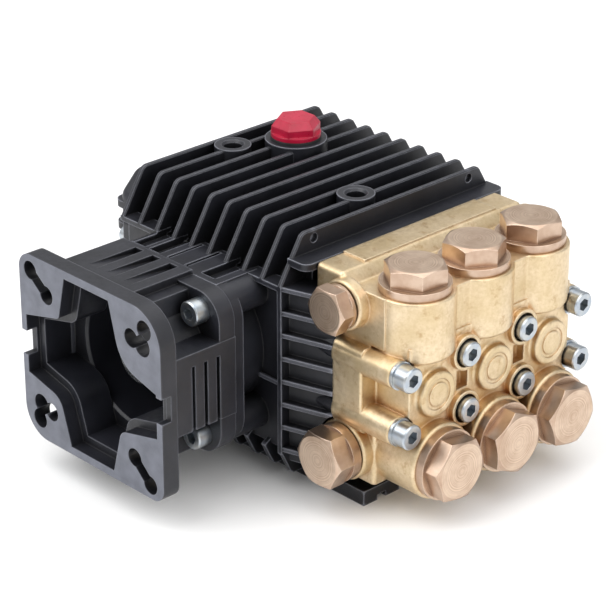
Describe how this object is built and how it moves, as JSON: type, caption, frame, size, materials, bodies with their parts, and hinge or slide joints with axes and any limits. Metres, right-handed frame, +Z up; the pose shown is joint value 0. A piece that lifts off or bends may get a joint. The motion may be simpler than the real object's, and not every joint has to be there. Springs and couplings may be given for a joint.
{
  "type": "pressure washer pump",
  "caption": "Triplex plunger pump with a finned black crankcase, hollow-shaft engine flange and cast brass head with hexagon valve caps.",
  "frame": {"origin": "centre of the engine flange's face, on the crankshaft axis", "axes": "+X from the crankshaft to the brass head, -Y out of the engine flange towards the engine, +Z up"},
  "size_m": [0.2447, 0.2341, 0.1498],
  "materials": {
    "black_casting": "satin",
    "cast_brass": "matte",
    "machined_brass": "satin",
    "zinc_steel": "satin",
    "red_plastic": "satin",
    "sealing_rubber": "matte",
    "clear_glass": "gloss",
    "polished_steel": "gloss",
    "aluminium_alloy": "satin",
    "cage_polymer": "matte",
    "white_ceramic": "gloss"
  },
  "bodies": {
    "casing": {"crankcase": "black_casting", "engine_adapter": "black_casting", "adapter_screws": "zinc_steel", "rear_cover": "black_casting", "rear_cover_gasket": "sealing_rubber", "sight_glass": "clear_glass", "drain_plug": "zinc_steel", "bearing_cover": "black_casting", "bearing_cover_gasket": "sealing_rubber", "cover_screws": "zinc_steel", "crankshaft_seal": "sealing_rubber", "front_bearing_outer": "polished_steel", "rear_bearing_outer": "polished_steel", "oil_cap": "red_plastic", "oil_cap_seal": "sealing_rubber", "oil_seals": "sealing_rubber", "packing_retainers": "machined_brass", "packing_rings": "sealing_rubber", "pump_head": "cast_brass", "head_screws": "zinc_steel", "discharge_caps": "machined_brass", "suction_caps": "machined_brass", "upper_side_plug": "machined_brass", "lower_side_plug": "machined_brass", "seal_rings": "sealing_rubber", "valve_seats": "machined_brass", "valve_cages": "machined_brass", "discharge_spring_1": "polished_steel", "discharge_spring_2": "polished_steel", "discharge_spring_3": "polished_steel", "suction_spring_1": "polished_steel", "suction_spring_2": "polished_steel", "suction_spring_3": "polished_steel"},
    "crank": {"crankshaft": "polished_steel", "front_bearing_inner": "polished_steel", "rear_bearing_inner": "polished_steel"},
    "bearing_cage_1": {"big_end_cage_1": "cage_polymer"},
    "rod_1": {"connecting_rod_1": "aluminium_alloy"},
    "plunger_set_1": {"crosshead_1": "aluminium_alloy", "wrist_pin_1": "polished_steel", "plunger_1": "white_ceramic", "plunger_bolt_1": "polished_steel"},
    "bearing_cage_2": {"big_end_cage_2": "cage_polymer"},
    "rod_2": {"connecting_rod_2": "aluminium_alloy"},
    "plunger_set_2": {"crosshead_2": "aluminium_alloy", "wrist_pin_2": "polished_steel", "plunger_2": "white_ceramic", "plunger_bolt_2": "polished_steel"},
    "bearing_cage_3": {"big_end_cage_3": "cage_polymer"},
    "rod_3": {"connecting_rod_3": "aluminium_alloy"},
    "plunger_set_3": {"crosshead_3": "aluminium_alloy", "wrist_pin_3": "polished_steel", "plunger_3": "white_ceramic", "plunger_bolt_3": "polished_steel"},
    "discharge_valve_1": {"discharge_poppet_1": "polished_steel"},
    "discharge_valve_2": {"discharge_poppet_2": "polished_steel"},
    "discharge_valve_3": {"discharge_poppet_3": "polished_steel"},
    "suction_valve_1": {"suction_poppet_1": "polished_steel"},
    "suction_valve_2": {"suction_poppet_2": "polished_steel"},
    "suction_valve_3": {"suction_poppet_3": "polished_steel"}
  },
  "joints": [
    {"name": "crank_spin", "type": "hinge", "parent": "casing", "child": "crank", "pos_m": [0, 0.1512, 0], "axis": [0, -1, 0], "continuous": true},
    {"name": "bearing_cage_turn_1", "type": "hinge", "parent": "crank", "child": "bearing_cage_1", "pos_m": [0.0015, 0.1102, 0], "axis": [0, -1, 0], "continuous": true},
    {"name": "plunger_stroke_1", "type": "hinge", "parent": "bearing_cage_1", "child": "plunger_set_1", "pos_m": [0.003, 0.1102, 0], "axis": [0, -1, 0], "continuous": true},
    {"name": "rod_swing_1", "type": "hinge", "parent": "crank", "child": "rod_1", "pos_m": [0.003, 0.1102, 0], "axis": [0, -1, 0], "continuous": true},
    {"name": "bearing_cage_turn_2", "type": "hinge", "parent": "crank", "child": "bearing_cage_2", "pos_m": [-0.00075, 0.1512, 0.0013], "axis": [0, -1, 0], "continuous": true},
    {"name": "plunger_stroke_2", "type": "hinge", "parent": "bearing_cage_2", "child": "plunger_set_2", "pos_m": [-0.0015, 0.1512, 0], "axis": [0, -1, 0], "continuous": true},
    {"name": "rod_swing_2", "type": "hinge", "parent": "crank", "child": "rod_2", "pos_m": [-0.0015, 0.1512, 0.0026], "axis": [0, -1, 0], "continuous": true},
    {"name": "bearing_cage_turn_3", "type": "hinge", "parent": "crank", "child": "bearing_cage_3", "pos_m": [-0.00075, 0.1922, -0.0013], "axis": [0, -1, 0], "continuous": true},
    {"name": "plunger_stroke_3", "type": "hinge", "parent": "bearing_cage_3", "child": "plunger_set_3", "pos_m": [-0.0015, 0.1922, 0], "axis": [0, -1, 0], "continuous": true},
    {"name": "rod_swing_3", "type": "hinge", "parent": "crank", "child": "rod_3", "pos_m": [-0.0015, 0.1922, -0.0026], "axis": [0, -1, 0], "continuous": true},
    {"name": "discharge_valve_lift_1", "type": "slide", "parent": "casing", "child": "discharge_valve_1", "axis": [0, 0, 1], "range_m": [0, 0.0018], "stiffness_N_per_m": 400, "springref_m": -0.002, "deforming": ["discharge_spring_1"]},
    {"name": "discharge_valve_lift_2", "type": "slide", "parent": "casing", "child": "discharge_valve_2", "axis": [0, 0, 1], "range_m": [0, 0.0018], "stiffness_N_per_m": 400, "springref_m": -0.002, "deforming": ["discharge_spring_2"]},
    {"name": "discharge_valve_lift_3", "type": "slide", "parent": "casing", "child": "discharge_valve_3", "axis": [0, 0, 1], "range_m": [0, 0.0018], "stiffness_N_per_m": 400, "springref_m": -0.002, "deforming": ["discharge_spring_3"]},
    {"name": "suction_valve_lift_1", "type": "slide", "parent": "casing", "child": "suction_valve_1", "axis": [1, 0, 0], "range_m": [0, 0.0018], "stiffness_N_per_m": 400, "springref_m": -0.002, "deforming": ["suction_spring_1"]},
    {"name": "suction_valve_lift_2", "type": "slide", "parent": "casing", "child": "suction_valve_2", "axis": [1, 0, 0], "range_m": [0, 0.0018], "stiffness_N_per_m": 400, "springref_m": -0.002, "deforming": ["suction_spring_2"]},
    {"name": "suction_valve_lift_3", "type": "slide", "parent": "casing", "child": "suction_valve_3", "axis": [1, 0, 0], "range_m": [0, 0.0018], "stiffness_N_per_m": 400, "springref_m": -0.002, "deforming": ["suction_spring_3"]}
  ],
  "couplings": [
    {"joint": "bearing_cage_turn_1", "follows": "crank_spin", "ratio": -2},
    {"joint": "plunger_stroke_1", "follows": "crank_spin", "ratio": 1},
    {"joint": "rod_swing_1", "follows": "crank_spin", "ratio": -1},
    {"joint": "bearing_cage_turn_2", "follows": "crank_spin", "ratio": -2},
    {"joint": "plunger_stroke_2", "follows": "crank_spin", "ratio": 1},
    {"joint": "rod_swing_2", "follows": "crank_spin", "ratio": -1},
    {"joint": "bearing_cage_turn_3", "follows": "crank_spin", "ratio": -2},
    {"joint": "plunger_stroke_3", "follows": "crank_spin", "ratio": 1},
    {"joint": "rod_swing_3", "follows": "crank_spin", "ratio": -1}
  ]
}
